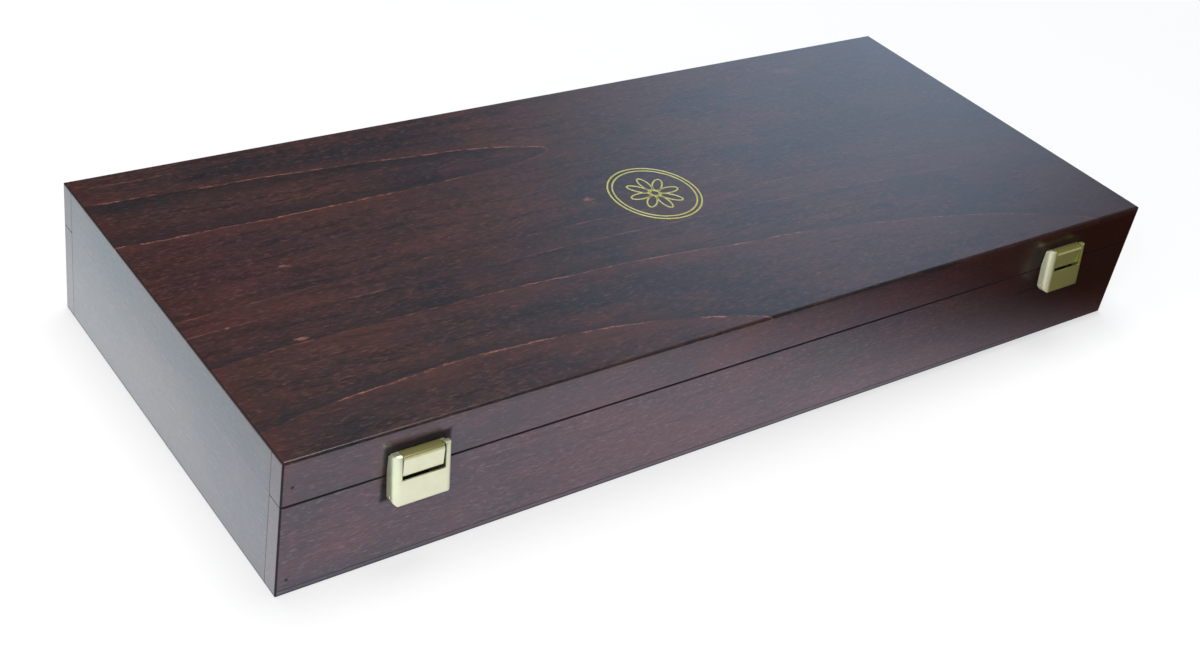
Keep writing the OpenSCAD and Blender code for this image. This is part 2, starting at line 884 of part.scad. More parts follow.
// Velvet pad glued inside the lid, with its crown facing down
module lid_pad() {
    hx = lined_x - lining_play;
    hy = lined_y - lining_play;
    back_z = top_panel_z - lining_play;
    n = 48;
    last = len(pad_rings) - 1;
    points = concat(
        [for (ring = pad_rings)
            let (in = ring[0], draw = pad_draw_in * max(0, 1 - in / pad_slope_w))
            for (p = pad_outline(hx - in, hy - in, pad_corner_r + in * 0.3, draw))
                [p[0], p[1], back_z - ring[1]]],
        [[0, 0, back_z], [0, 0, back_z - pad_rings[last][1]]]
    );
    faces = concat(
        [for (k = [0:last - 1], i = [0:n - 1])
            let (a = k * n + i, b = k * n + (i + 1) % n)
            each [[a, a + n, b], [b, a + n, b + n]]],
        [for (i = [0:n - 1]) [(i + 1) % n, n * (last + 1), i]],
        [for (i = [0:n - 1]) [last * n + i, n * (last + 1) + 1, last * n + (i + 1) % n]]
    );
    color(velvet)
        polyhedron(points, faces);
}

bottom_panel();
base_front_board();
base_back_board();
base_end(left);  // base_left_end
base_end(right);  // base_right_end
base_brads();
floor_card();
wall_lining(floor_z, base_rim - lining_drop);  // base_wall_lining
knife_rest(-1);  // front_knife_rest
knife_rest(1);  // rear_knife_rest
hinge_base_leaf(left);  // hinge_base_leaf_left
hinge_base_leaf(right);  // hinge_base_leaf_right
hinge_pin(left);  // hinge_pin_left
hinge_pin(right);  // hinge_pin_right
hinge_base_screws();
latch_plate(left);  // latch_plate_left
latch_plate(right);  // latch_plate_right
latch_pin(left);  // latch_pin_left
latch_pin(right);  // latch_pin_right
latch_spring(left);  // latch_spring_left
latch_spring(right);  // latch_spring_right
latch_plate_screws();
top_panel();
lid_front_board();
lid_back_board();
lid_end(left);  // lid_left_end
lid_end(right);  // lid_right_end
lid_brads();
wall_lining(lid_rim + lining_drop, top_panel_z);  // lid_wall_lining
lid_pad();
hinge_lid_leaf(left);  // hinge_lid_leaf_left
hinge_lid_leaf(right);  // hinge_lid_leaf_right
hinge_lid_screws();
latch_keeper(left);  // latch_keeper_left
latch_keeper(right);  // latch_keeper_right
keeper_screws();
latch_flap(left);  // latch_flap_left
latch_flap(right);  // latch_flap_right
catch_clip(left);  // catch_clip_left
catch_clip(right);  // catch_clip_right
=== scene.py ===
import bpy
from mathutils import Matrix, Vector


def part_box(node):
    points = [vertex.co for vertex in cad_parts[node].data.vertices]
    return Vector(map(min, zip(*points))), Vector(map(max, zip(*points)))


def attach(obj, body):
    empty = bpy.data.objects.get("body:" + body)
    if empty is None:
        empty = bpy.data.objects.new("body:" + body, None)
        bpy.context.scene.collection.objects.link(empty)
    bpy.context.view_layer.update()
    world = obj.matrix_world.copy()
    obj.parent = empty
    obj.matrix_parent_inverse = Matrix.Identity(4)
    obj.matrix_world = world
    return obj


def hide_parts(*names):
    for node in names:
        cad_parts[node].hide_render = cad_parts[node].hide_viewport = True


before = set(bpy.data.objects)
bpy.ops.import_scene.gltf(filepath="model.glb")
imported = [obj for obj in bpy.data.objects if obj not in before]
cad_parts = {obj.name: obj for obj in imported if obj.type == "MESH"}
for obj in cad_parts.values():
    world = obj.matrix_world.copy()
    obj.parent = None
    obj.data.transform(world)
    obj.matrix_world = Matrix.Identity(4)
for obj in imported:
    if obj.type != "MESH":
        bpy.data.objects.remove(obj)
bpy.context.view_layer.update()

import math

import bmesh
import bpy
from mathutils import Vector

# Bottom panel.
# A 3 mm panel glued under the walls, stained with them and sanded round its lower edge.
# It shows as a greyer band, because its edge took the stain worse than the boards.


def rgb(red, green, blue):
    """A colour written as it looks on a screen, 0 to 255."""
    parts = [c / 255 for c in (red, green, blue)]
    return [c / 12.92 if c < 0.04045 else ((c + 0.055) / 1.055) ** 2.4 for c in parts] + [1]


class Wire:
    """A socket of a finish that adds, multiplies and compares like a number."""

    def __init__(self, finish, socket):
        self.finish, self.socket = finish, socket

    def math(self, operation, *values):
        """A math node of this operation on the values."""
        return self.finish.node("ShaderNodeMath", {"operation": operation}, values)

    def __add__(self, other):
        return self.math("ADD", self, other)

    def __sub__(self, other):
        return self.math("SUBTRACT", self, other)

    def __rsub__(self, other):
        return self.math("SUBTRACT", other, self)

    def __mul__(self, other):
        return self.math("MULTIPLY", self, other)

    def __truediv__(self, other):
        return self.math("DIVIDE", self, other)

    def __rtruediv__(self, other):
        return self.math("DIVIDE", other, self)

    def __pow__(self, other):
        return self.math("POWER", self, other)

    def __abs__(self):
        return self.math("ABSOLUTE", self)

    def __neg__(self):
        return self * -1

    __radd__ = __add__
    __rmul__ = __mul__

    def under(self, other):
        """The smaller of the two."""
        return self.math("MINIMUM", self, other)

    def over(self, other):
        """The larger of the two."""
        return self.math("MAXIMUM", self, other)

    def rise(self, start, end):
        """A smooth slope from 0 at start to 1 at end, level outside them. Either may be the larger."""
        values = [self, start, end, 0, 1]
        return self.finish.node("ShaderNodeMapRange", {"interpolation_type": "SMOOTHSTEP"}, values)


class Finish:
    """One surface finish and its shader tree; owner is given for the surroundings' light."""

    def __init__(self, name, owner=None):
        self.material = owner or bpy.data.materials.new(name)
        self.material.use_nodes = True
        self.tree = self.material.node_tree
        self.tree.nodes.clear()

    def node(self, kind, settings=None, values=(), out=0):
        """A node of this kind with its settings and the values or links of its sockets; gives one output."""
        made = self.tree.nodes.new(kind)
        for key, value in (settings or {}).items():
            setattr(made, key, value)
        for key, value in values.items() if isinstance(values, dict) else enumerate(values):
            if isinstance(value, Wire):
                self.tree.links.new(value.socket, made.inputs[key])
            else:
                made.inputs[key].default_value = value
        return Wire(self, made.outputs[out]) if len(made.outputs) else None

    def place(self):
        """Where a point of the piece is, in millimetres."""
        spot = self.node("ShaderNodeTexCoord", out="Object")
        return self.node("ShaderNodeVectorMath", {"operation": "SCALE"}, {0: spot, "Scale": 1000})

    def split(self, vector):
        """The x, y and z of a vector."""
        apart = self.node("ShaderNodeSeparateXYZ", values=[vector]).socket.node
        return [Wire(self, socket) for socket in apart.outputs]

    def join(self, x, y, z):
        """The vector of an x, y and z."""
        return self.node("ShaderNodeCombineXYZ", values=[x, y, z])

    def noise(self, where, size, detail=2.0, rough=0.5, seed=0.0):
        """Noise with features of about this size in millimetres."""
        sockets = {"Vector": where, "W": seed, "Scale": 1 / size, "Detail": detail, "Roughness": rough}
        return self.node("ShaderNodeTexNoise", {"noise_dimensions": "4D"}, sockets)

    def scratches(self, where, stretch, width, detail, seed=0.0):
        """Noise of this width in millimetres, drawn out along x as the stretch nears 0."""
        drawn_out = self.node("ShaderNodeVectorMath", {"operation": "MULTIPLY"}, [where, (stretch, 1, 1)])
        return self.noise(drawn_out, width, detail, seed=seed)

    def blend(self, factor, first, second):
        """The first colour at factor 0, the second at 1."""
        first_socket, second_socket, result_socket = 6, 7, 2
        return self.node("ShaderNodeMix", {"data_type": "RGBA"},
                         {0: factor, first_socket: first, second_socket: second}, result_socket)

    def bump(self, height, depth, strength=1.0):
        """Relief of this depth in metres for a height from 0 to 1."""
        sockets = {"Strength": strength, "Distance": depth, "Height": height}
        return self.node("ShaderNodeBump", values=sockets)

    def skin(self, **sockets):
        """Puts the finish's shader on, with these sockets; underscores stand for spaces."""
        shader = self.node("ShaderNodeBsdfPrincipled",
                           values={key.replace("_", " "): value for key, value in sockets.items()})
        self.node("ShaderNodeOutputMaterial", values=[shader])
        return self


def dress(finish, *names):
    """Gives the solids of these names a finish."""
    for name in names:
        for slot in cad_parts[name].material_slots:
            slot.material = finish.material


def box_in_mm(name):
    """The lowest and the highest corner of a solid in millimetres, which is how the finishes measure."""
    return [[c * 1000 for c in corner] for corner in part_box(name)]


half_length, half_depth, case_top = box_in_mm("top_panel")[1]
lower_joint = box_in_mm("bottom_panel")[1][2]
board_low, board_high = box_in_mm("base_front_board")
seam_top, board_t = board_high[2], board_high[1] - board_low[1]
flap_low, flap_high = box_in_mm("latch_flap_right")
latch_x, latch_z = (flap_low[0] + flap_high[0]) / 2, (flap_low[2] + flap_high[2]) / 2
shade_half_w, shade_half_h = 13, 12
# Where the painted shade on the front begins, marked by a greyer band.
shade_edge_x = 78

pale_fibre, warm_fibre = rgb(126, 111, 120), rgb(126, 84, 76)
red_patch, dark_pore, pale_seam_rim = rgb(88, 46, 48), rgb(16, 11, 13), rgb(104, 98, 104)
red_left, brown_left = rgb(84, 34, 31), rgb(20, 10, 10)
ring_line, ring_warm, ring_dark = rgb(148, 94, 80), rgb(84, 46, 40), rgb(26, 25, 30)
pale_mark, shade_edge_grey, painted_shade_red = rgb(142, 96, 88), rgb(38, 36, 46), rgb(31, 4, 3)
# Colours of the stain on the edges and of the painted shade round the latches, cold at the left, warm at the
# right.
cold_stain_and_shade, warm_stain_and_shade = rgb(14, 12, 16), rgb(42, 17, 9)


def stain_and_painted_shade(x, y, z):
    """How dark a point is: stain on the eased edges and in the joint lines, and painted shade round the
    latches.
    """
    past_end, past_face = abs(x) - half_length, abs(y) - half_depth
    end_edge, face_edge = past_end.rise(-1, -0.35), past_face.rise(-1, -0.35)
    top_edge, foot_edge = (z - case_top).rise(-0.9, -0.35), z.rise(1.5, 0.5)
    # The front's top edge is stained dark, and painted darker towards the right as shade.
    front_edge_darker_right = face_edge * (x.rise(-60, 120) * 0.6 + 0.25)
    edges = end_edge.under(face_edge).over(foot_edge.under(end_edge.over(face_edge)))
    edges = edges.over(top_edge.under(end_edge.over(front_edge_darker_right)))
    seams = abs(z - seam_top).rise(0.75, 0.4).over(abs(z - lower_joint).rise(0.3, 0.12) * 0.8)
    seams = seams * past_end.rise(-0.3, -1.2) * past_face.rise(-1.2, -0.5) * (x.rise(215, 140) * 0.7 + 0.3)
    corner_joints = abs(past_face + board_t).rise(0.28, 0.1) * past_end.rise(-0.6, -0.3) * 0.7
    # Painted shade on the front round each latch, reaching further to the left of the right latch.
    beside, above = abs(abs(x) - latch_x) - shade_half_w, abs(z - latch_z) - shade_half_h
    wider_left_of_the_right_one = (latch_x - x).rise(8, 16) * x.rise(80, 120) * 4 + 1
    on_the_front = (-y - half_depth).rise(-1, -0.4)
    shade = (beside / wider_left_of_the_right_one).over(above).rise(3, 0.8) * on_the_front
    return edges.over(seams).over(corner_joints).over(shade * 0.9)


def growth_rings(wood, colour, run, across, uneven, broken, arches):
    """Draws each ring as an arc of an ellipse: a thin, uneven, broken line, dark on one side and warm on the
    other. An arch is its middle, half sizes, drift across, strength and whether the dark side is inside."""
    for middle_x, middle_y, half_x, half_y, drift, strength, dark_inside in arches:
        u = (run - middle_x) / half_x
        v = (across - (middle_y + (run - middle_x) * drift)) / half_y
        rho = (u * u + v * v) ** 0.5
        slope = ((u / half_x) ** 2 + (v / half_y) ** 2) ** 0.5 / rho
        gap = (rho - 1) / slope
        inside = gap.rise(-16, -1) * gap.rise(0.5, -0.5)
        outside = gap.rise(9, 1) * gap.rise(-0.5, 0.5)
        dark, warm = (inside, outside) if dark_inside else (outside, inside)
        colour = wood.blend(warm * 0.3 * strength, colour, ring_warm)
        colour = wood.blend(dark * 0.5 * strength, colour, ring_dark)
        colour = wood.blend(abs(gap + uneven).rise(0.6, 0.08) * broken * strength, colour, ring_line)
    return colour


def stained_wood(name, along, tone, red=0.0, pale=0.35, mottle=0.4, painted_shade_right=0.0, arches=(), marks=()):
    """Wood stained and lacquered. along is the grain's axis; red, pale and mottle say how strongly reddish
    patches, short pale fibres and dark clouds show, and the right-end setting how much darker the right end
    is painted, as shade. arches are growth rings, and marks are pale spots: place, size and strength."""
    wood = Finish(name)
    mm = wood.place()
    x, y, z = wood.split(mm)
    run, across = (x, y) if along == "x" else (y, x)

    def grain(line, stretch, width, detail, rough=0.5, seed=0):
        """Noise of this width in millimetres across the line, drawn out along the grain."""
        return wood.noise(wood.join(run * stretch, line, z), width, detail, rough, seed)

    warped = across + (grain(across, 0.3, 26, 3, seed=2) - 0.5) * 7
    fine = grain(warped, 0.15, 0.55, 2, 0.6)
    short = grain(warped, 0.35, 1.2, 3, 0.65, seed=4)
    streak = grain(warped, 0.08, 2.2, 3, 0.6, seed=5)
    bluish = [tone[0] * 0.50, tone[1] * 0.72, tone[2] * 0.98, 1]
    reddish = [tone[0] * 1.32, tone[1] * 1.02, tone[2] * 0.94, 1]
    colour = wood.blend(grain(across, 0.45, 34, 5, 0.62, seed=9).rise(0.38, 0.6), bluish, reddish)
    if red:
        patches = grain(across, 0.5, 9, 4, 0.65, seed=14).rise(0.5, 0.7)
        colour = wood.blend(patches * red, colour, red_patch)
    if arches:
        left_patch = run.rise(-140, -250) * across.rise(-70, 0) * across.rise(70, 40)
        left_rim = run.rise(-236, -251)
        colour = wood.blend(left_patch.over(left_rim) * 0.45, colour, red_left)
        colour = wood.blend(run.rise(-205, -240) * 0.25, colour, brown_left)
    fibres = fine.rise(0.47, 0.66) * short.rise(0.42, 0.6)
    colour = wood.blend(fibres * pale, colour, warm_fibre if arches else pale_fibre)
    colour = wood.blend((fine * 0.45 + streak * 0.55).rise(0.52, 0.36) * mottle, colour, dark_pore)
    if arches:
        uneven = (short - 0.5) * 2 + (streak - 0.5) * 2.5
        broken = grain(across, 0.5, 3.2, 4, 0.7, seed=21).rise(0.42, 0.6) * 0.85 + 0.12
        coming_and_going = grain(across, 0.5, 17, 2, seed=25).rise(0.36, 0.56)
        colour = growth_rings(wood, colour, run, warped, uneven, broken * coming_and_going, arches)
    for mark_x, mark_y, size, strength in marks:
        far = (((x - mark_x) * 0.45) ** 2 + (y - mark_y) ** 2) ** 0.5 + (short - 0.5) * size * 4.5
        colour = wood.blend(far.rise(size, size * 0.2) * strength, colour, pale_mark)
    # Painted light: the ends are paler along the seam, so its shade hardly shows.
    if along == "y":
        colour = wood.blend(abs(z - seam_top).rise(0.6, 0.3) * 0.6, colour, pale_seam_rim)
    if painted_shade_right:
        # Painted shade: a grey band down the front where the shade begins, and the right end darker, more so
        # higher up.
        shade_edge_band = abs(x - shade_edge_x).rise(5, 1) * z.rise(seam_top, seam_top - 6) * 0.4
        colour = wood.blend(shade_edge_band, colour, shade_edge_grey)
        colour = wood.blend(x.rise(40, 215) * (z.rise(2, 26) * 0.35 + 0.65) * painted_shade_right, colour, painted_shade_red)
    stain_and_shade = stain_and_painted_shade(x, y, z)
    # Darker where the edges and joints are stained, and round the latches as painted shade.
    colour = wood.blend(stain_and_shade * 0.85, colour, wood.blend(x.rise(60, 190), cold_stain_and_shade, warm_stain_and_shade))
    gloss = wood.noise(mm, 30, 2, seed=40)
    return wood.skin(Base_Color=colour, Roughness=gloss * 0.06 + (1 - fine) * 0.08 + 0.26 + stain_and_shade * 0.6,
                     Normal=wood.bump(fine * 0.6 + streak * 0.4, 0.00003, 0.5),
                     Coat_Weight=0.85 - stain_and_shade * 0.85, Coat_Roughness=0.24, Coat_IOR=1.5)


# The right end is painted darker, as shade.
lower_band = stained_wood("stained_lower_band", "x", rgb(66, 58, 64), pale=0.25, painted_shade_right=0.5)
dress(lower_band, "bottom_panel")

# Walls of the base.
# Two long boards and two ends between them, 9 mm thick, butt jointed, glued and nailed.
# The stain lies uneven on them: short pale strokes in the grain and reddish patches.
# The right end is painted darker, as shade.
base_boards = stained_wood("stained_base_boards", "x", rgb(72, 47, 52),
                           red=0.3, pale=0.48, mottle=0.55, painted_shade_right=0.93)
dress(base_boards, "base_front_board", "base_back_board")
base_ends = stained_wood("stained_base_ends", "y", rgb(62, 52, 57), red=0.15)
dress(base_ends, "base_left_end", "base_right_end")

# Filler over the brads of the base.
# Each corner joint has a headless brad, punched below the face and filled with dark wax.
# The filler stands a hair below the lacquer.
filler = Finish("brad_filler")
crumbs = filler.noise(filler.place(), 0.25, 2)
wax = filler.blend(crumbs.rise(0.35, 0.65), rgb(18, 11, 11), rgb(44, 30, 28))
filler.skin(Base_Color=wax, Roughness=0.55, Normal=filler.bump(crumbs, 0.00003))


def grown(name, build, sizes, finish):
    """A plain mesh grown by a tree of geometry nodes. build(tree, inputs) gives the last geometry socket."""
    tree = bpy.data.node_groups.new(name + "_tree", "GeometryNodeTree")
    tree.interface.new_socket("Geometry", in_out="OUTPUT", socket_type="NodeSocketGeometry")
    names = {}
    for label, value in sizes.items():
        kind = "NodeSocketInt" if isinstance(value, int) else "NodeSocketFloat"
        names[label] = tree.interface.new_socket(label, in_out="INPUT", socket_type=kind).identifier
    inputs = tree.nodes.new("NodeGroupInput").outputs
    shape = build(tree, inputs)
    real = tree.nodes.new("GeometryNodeRealizeInstances")
    paint = tree.nodes.new("GeometryNodeSetMaterial")
    paint.inputs["Material"].default_value = finish.material
    tree.links.new(shape, real.inputs[0])
    tree.links.new(real.outputs[0], paint.inputs["Geometry"])
    tree.links.new(paint.outputs[0], tree.nodes.new("NodeGroupOutput").inputs[0])
    seedling = bpy.data.objects.new(name + "_seed", bpy.data.meshes.new(name + "_seed"))
    bpy.context.scene.collection.objects.link(seedling)
    modifier = seedling.modifiers.new(name, "NODES")
    modifier.node_group = tree
    for label, value in sizes.items():
        modifier[names[label]] = value
    ready = seedling.evaluated_get(bpy.context.evaluated_depsgraph_get())
    mesh = bpy.data.meshes.new_from_object(ready)
    seedling.modifiers.remove(modifier)
    bpy.data.objects.remove(seedling)
    piece = bpy.data.objects.new(name, mesh)
    bpy.context.scene.collection.objects.link(piece)
    return piece


def step(tree, kind, values=None, operation=None):
    """A node of a geometry tree with the values or links of its sockets, and its operation if it has one."""
    made = tree.nodes.new(kind)
    if operation:
        made.operation = operation
    for key, value in (values or {}).items():
        if isinstance(value, bpy.types.NodeSocket):
            tree.links.new(value, made.inputs[key])
        else:
            made.inputs[key].default_value = value
    return made.outputs[0]


def filler_row(tree, inputs):
    """One dot of filler at each of the four corner joints, on the front and the back face."""
    corners = step(tree, "GeometryNodeMeshGrid", {
        "Size X": inputs["Joint to joint"], "Size Y": inputs["Face to face"],
        "Vertices X": 2, "Vertices Y": 2})
    dot = step(tree, "GeometryNodeMeshCylinder", {
        "Vertices": 16, "Side Segments": 1, "Fill Segments": 2,
        "Radius": inputs["Radius"], "Depth": inputs["Depth"]})
    points = step(tree, "GeometryNodeInstanceOnPoints", {
        "Points": corners, "Instance": dot, "Rotation": (math.pi / 2, 0, 0)})
    lift = step(tree, "ShaderNodeCombineXYZ", {"Z": inputs["Height"]})
    dots = step(tree, "GeometryNodeRealizeInstances", {"Geometry": points})
    return step(tree, "GeometryNodeSetPosition", {"Geometry": dots, "Offset": lift})


brad_d, filler_r, filler_depth, below_the_lacquer = 0.0014, 0.00072, 0.0003, 0.000025
board_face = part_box("base_back_board")[1][1]


def filled_brads(name, brads, body):
    """The dots of filler over these brads."""
    low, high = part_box(brads)
    dots = grown(name, filler_row, {
        "Joint to joint": high[0] - low[0] - brad_d,
        "Face to face": 2 * (board_face - below_the_lacquer) - filler_depth,
        "Radius": filler_r, "Depth": filler_depth, "Height": (low[2] + high[2]) / 2}, filler)
    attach(dots, body)


filled_brads("base_filler", "base_brads", "case")

# Lining of the base.
# Card covered in burgundy velvet lies on the floor and stands round the walls.
# The nap is short and dense, and shows light and dark where a hand has brushed it.


def velvet_cloth(name, tone, bright):
    """Short dense pile, brushed darker and brighter in patches."""
    velvet = Finish(name)
    mm = velvet.place()
    nap = velvet.noise(mm, 0.35, 2, 0.6)
    brushed = velvet.noise(mm, 22, 3, 0.55, seed=3)
    colour = velvet.blend(brushed.rise(0.36, 0.66) * 0.6, tone, bright)
    colour = velvet.blend(nap.rise(0.35, 0.7) * 0.35, colour, [c * 0.45 for c in tone[:3]] + [1])
    pile = velvet.bump(nap * 0.7 + brushed * 0.3, 0.00025, 0.5)
    return velvet.skin(Base_Color=colour, Roughness=0.92, Normal=pile,
                       Sheen_Weight=0.7, Sheen_Roughness=0.35, Sheen_Tint=rgb(214, 120, 128))


lining_velvet = velvet_cloth("lining_velvet", rgb(96, 22, 36), rgb(124, 36, 50))
dress(lining_velvet, "floor_card", "base_wall_lining")

# Two notched rests.
# Each is a wooden bar with eight rounded notches, wrapped in the same velvet and glued in.
# The velvet rounds the edges of the crest and of the notches, and ends under the foot.
notch_count, notch_pitch, notch_w, notch_depth, notch_r = 8, 0.056, 0.032, 0.014, 0.004
lip_r = 0.0022
# The velvet's rounded edge: how far in from the face, and how far below the crest.
rounded_edge = [(0, 0.0014), (0.0006, 0.0004), (0.0018, 0)]


def arc(middle_x, middle_z, radius, start, end, steps=6):
    """The points of an arc between two angles in degrees."""
    angles = [math.radians(start + (end - start) * i / steps) for i in range(steps + 1)]
    return [(middle_x + radius * math.cos(angle), middle_z + radius * math.sin(angle)) for angle in angles]


def rest_outline(half_w, height):
    """The crest of the bar from its right end over the notches to its left end."""
    outline = arc(half_w - lip_r, height - lip_r, lip_r, 0, 90, 4)
    for i in reversed(range(notch_count)):
        x = (i - (notch_count - 1) / 2) * notch_pitch
        low, w = height - notch_depth, notch_w / 2
        outline += arc(x + w + lip_r, height - lip_r, lip_r, 90, 180, 4)
        outline += arc(x + w - notch_r, low + notch_r, notch_r, 0, -90)
        outline += arc(x - w + notch_r, low + notch_r, notch_r, -90, -180)
        outline += arc(x - w - lip_r, height - lip_r, lip_r, 0, 90, 4)
    return outline + arc(-half_w + lip_r, height - lip_r, lip_r, 90, 180, 4)


def mesh_piece(name, shape, finish):
    """Turns a bmesh into a finished piece."""
    mesh = bpy.data.meshes.new(name)
    shape.to_mesh(mesh)
    shape.free()
    mesh.materials.append(finish.material)
    piece = bpy.data.objects.new(name, mesh)
    bpy.context.scene.collection.objects.link(piece)
    return piece


def smooth(piece, angle):
    """Shades a piece smooth but for edges sharper than the angle."""
    for face in piece.data.polygons:
        face.use_smooth = True
    piece.data.set_sharp_from_angle(angle=math.radians(angle))


def covered_rest(name, node):
    """The velvet over a rest: its outline in slices from the front face to the back face."""
    low, high = (Vector(corner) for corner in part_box(node))
    slices = [(low.y + inset, drop) for inset, drop in rounded_edge]
    slices += [(high.y - inset, drop) for inset, drop in reversed(rounded_edge)]
    shape = bmesh.new()
    crests, feet = [], []
    for y, drop in slices:
        crest = rest_outline((high.x - low.x) / 2 - drop * 0.3, high.z - low.z - drop)
        crests.append([shape.verts.new((x, y, low.z + z)) for x, z in crest])
        feet.append([shape.verts.new((x, y, low.z)) for x, z in crest])
    last = len(crest) - 1
    for i in range(last):
        for k in range(len(slices) - 1):
            shape.faces.new((crests[k][i], crests[k][i + 1], crests[k + 1][i + 1], crests[k + 1][i]))
            shape.faces.new((feet[k][i], feet[k + 1][i], feet[k + 1][i + 1], feet[k][i + 1]))
        for k in (0, -1):
            shape.faces.new((crests[k][i], feet[k][i], feet[k][i + 1], crests[k][i + 1]))
    for k in range(len(slices) - 1):
        for i in (0, last):
            shape.faces.new((crests[k][i], crests[k + 1][i], feet[k + 1][i], feet[k][i]))
    bmesh.ops.dissolve_degenerate(shape, dist=0.00001, edges=shape.edges)
    bmesh.ops.recalc_face_normals(shape, faces=shape.faces)
    rest = mesh_piece(name, shape, lining_velvet)
    smooth(rest, angle=35)
    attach(rest, "case")
    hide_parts(node)


covered_rest("front_rest_covered", "front_knife_rest")
covered_rest("rear_rest_covered", "rear_knife_rest")

# Walls and top of the lid.
# The walls match the base but are planed smoother; the top is one wide panel, and its
# growth rings show as thin, broken, orange-red arches on dark stain, redder at the left.
# The right end is painted darker, as shade.
lid_boards = stained_wood("stained_lid_boards", "x", rgb(70, 44, 48),
                          red=0.25, pale=0.3, mottle=0.35, painted_shade_right=0.93)
dress(lid_boards, "lid_front_board", "lid_back_board")
lid_ends = stained_wood("stained_lid_ends", "y", rgb(61, 51, 56), red=0.1, pale=0.3, mottle=0.35)
dress(lid_ends, "lid_left_end", "lid_right_end")
# Each ring's middle, half sizes, drift across, strength, and whether its dark side is inside.
rings_of_the_lid = [
    (-250, 66, 227, 18, -0.037, 1.0, True),
    (-160, -135, 172, 56, 0, 1.0, False),
    (-150, -135, 385, 93, 0, 0.9, False),
    (-100, -700, 1600, 692, 0, 0.45, False),
    (-150, -700, 1600, 678, 0, 0.4, True),
    (-250, 130, 420, 32, 0, 0.3, False),
]
# Each mark's place, size and strength.
marks_of_the_lid = [
    (-31, 8, 1.7, 0.6), (-208, -40, 1.3, 0.7), (-191, 10, 1.4, 0.6), (-228, -64, 0.5, 0.6),
    (-135, -12, 0.5, 0.6), (-232, -22, 0.6, 0.6), (162, 85, 4, 0.3),
]
# The right end is painted darker, as shade.
lid_top = stained_wood("stained_lid_top", "x", rgb(56, 41, 39), red=0.35, pale=0.4, mottle=0.62, painted_shade_right=0.45,
                       arches=rings_of_the_lid, marks=marks_of_the_lid)
dress(lid_top, "top_panel")

# Filler over the brads of the lid.
# The same dark wax as in the base, one dot at each end of the long boards.
filled_brads("lid_filler", "lid_brads", "lid")

# Lining and pad of the lid.
# The walls have velvet card, and a foam pad covered in velvet is glued under the top.
# The foam swells the cover between its edges, where it is drawn in.
dress(lining_velvet, "lid_wall_lining")
pad_velvet = velvet_cloth("pad_velvet", rgb(100, 24, 38), rgb(130, 38, 52))
pad_low, pad_high = (Vector(corner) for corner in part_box("lid_pad"))
# The blank's distance from its solid's sides and back, its thickness and its corners' radius.
pad_shy, pad_back_shy, pad_edge_t, pad_corner_r = 0.001, 0.0004, 0.0066, 0.008
pad_back = pad_high.z - pad_back_shy
# The most that a point may move, how near its solid it may come, how far the glue reaches, and a voxel.
pad_most_move, pad_play, glue_reach, pad_voxel = 0.006, 0.0002, 0.002, 0.0042
foam_pressure, swelling_frames = 4, 20


def pad_blank():
    """The pad before it swells: a flat slab with rounded corners."""
    shape = bmesh.new()
    middle_x, middle_y = pad_high.x - pad_shy - pad_corner_r, pad_high.y - pad_shy - pad_corner_r
    outline = []
    for sx, sy, start in ((1, 1, 0), (-1, 1, 90), (-1, -1, 180), (1, -1, 270)):
        outline += arc(sx * middle_x, sy * middle_y, pad_corner_r, start, start + 90)
    upper = [shape.verts.new((x, y, pad_back)) for x, y in outline]
    lower = [shape.verts.new((x, y, pad_back - pad_edge_t)) for x, y in outline]
    shape.faces.new(upper)
    shape.faces.new(list(reversed(lower)))
    for i in range(len(upper)):
        j = (i + 1) % len(upper)
        shape.faces.new((upper[i], lower[i], lower[j], upper[j]))
    bmesh.ops.recalc_face_normals(shape, faces=shape.faces)
    return shape


def apply_modifiers(piece):
    """Bakes a piece's modifiers into its mesh, and takes them off."""
    ready = piece.evaluated_get(bpy.context.evaluated_depsgraph_get())
    mesh = bpy.data.meshes.new_from_object(ready)
    piece.modifiers.clear()
    piece.data = mesh


def swell(pad):
    """Lets the foam press the cover out, but for the back, which is glued."""
    glued = pad.vertex_groups.new(name="glued")
    at_the_back = [vertex.index for vertex in pad.data.vertices if vertex.co.z > pad_back - glue_reach]
    glued.add(at_the_back, 1, "REPLACE")
    cloth = pad.modifiers.new("swelling", "CLOTH")
    cloth.settings.vertex_group_mass = "glued"
    cloth.settings.use_pressure = True
    cloth.settings.uniform_pressure_force = foam_pressure
    cloth.settings.effector_weights.gravity = 0
    for number in range(1, swelling_frames + 1):
        bpy.context.scene.frame_set(number)
    apply_modifiers(pad)
    bpy.context.scene.frame_set(1)


def swollen_pad():
    """The pad's cover, swollen but kept inside the space of its solid."""
    pad = mesh_piece("lid_pad_cover", pad_blank(), pad_velvet)
    remesh = pad.modifiers.new("voxels", "REMESH")
    remesh.mode, remesh.voxel_size = "VOXEL", pad_voxel
    apply_modifiers(pad)
    before = [vertex.co.copy() for vertex in pad.data.vertices]
    swell(pad)
    for vertex, start in zip(pad.data.vertices, before):
        moved = vertex.co - start
        if moved.length > pad_most_move:
            moved *= pad_most_move / moved.length
        spot = start + moved
        vertex.co = [min(max(spot[i], pad_low[i] + pad_play), pad_high[i] - pad_play) for i in range(3)]
        vertex.co.z = min(vertex.co.z, pad_back)
    finer = pad.modifiers.new("finer", "SUBSURF")
    finer.levels = finer.render_levels = 1
    apply_modifiers(pad)
    for vertex in pad.data.vertices:
        vertex.co.z = min(vertex.co.z, pad_back)
    pad.data.materials.clear()
    pad.data.materials.append(pad_velvet.material)
    smooth(pad, angle=70)
    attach(pad, "lid")
    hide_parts("lid_pad")


swollen_pad()

# Stop hinges.
# Two brass hinges with five knuckles let into the rims, each leaf held by three screws.
# The pins are steel wire, and the stops outside the knuckles hold the lid open.


